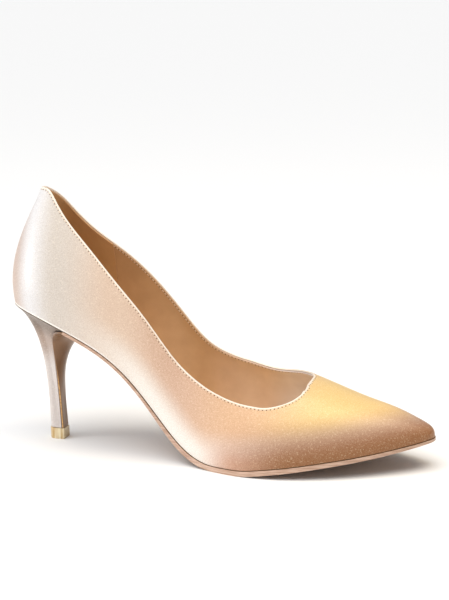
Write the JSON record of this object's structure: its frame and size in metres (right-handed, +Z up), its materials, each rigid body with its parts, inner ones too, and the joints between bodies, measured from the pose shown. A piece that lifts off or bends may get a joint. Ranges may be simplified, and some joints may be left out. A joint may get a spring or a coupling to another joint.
{
  "type": "pump",
  "caption": "Right pointed-toe stiletto pump: satin-covered hollow upper, leather sole running down the heel's breast, insole, slim heel and top piece.",
  "frame": {"origin": "centre of the top piece's resting face, on the floor", "axes": "+X to the toe, +Y to the medial side, +Z up"},
  "size_m": [0.2283, 0.0737, 0.1393],
  "materials": {
    "satin": "duchess satin, blush at the heel and golden at the toe, soft sheen",
    "sock_leather": "golden tan leather sock, low gloss",
    "sole_leather": "smooth sole leather, satin gloss, paler raw edges",
    "top_lift": "gold-beige top piece"
  },
  "bodies": {
    "root": {"upper": "satin", "insole": "sock_leather", "outsole": "sole_leather", "heel": "satin", "breast_cover": "sole_leather", "top_piece": "top_lift"}
  },
  "joints": []
}
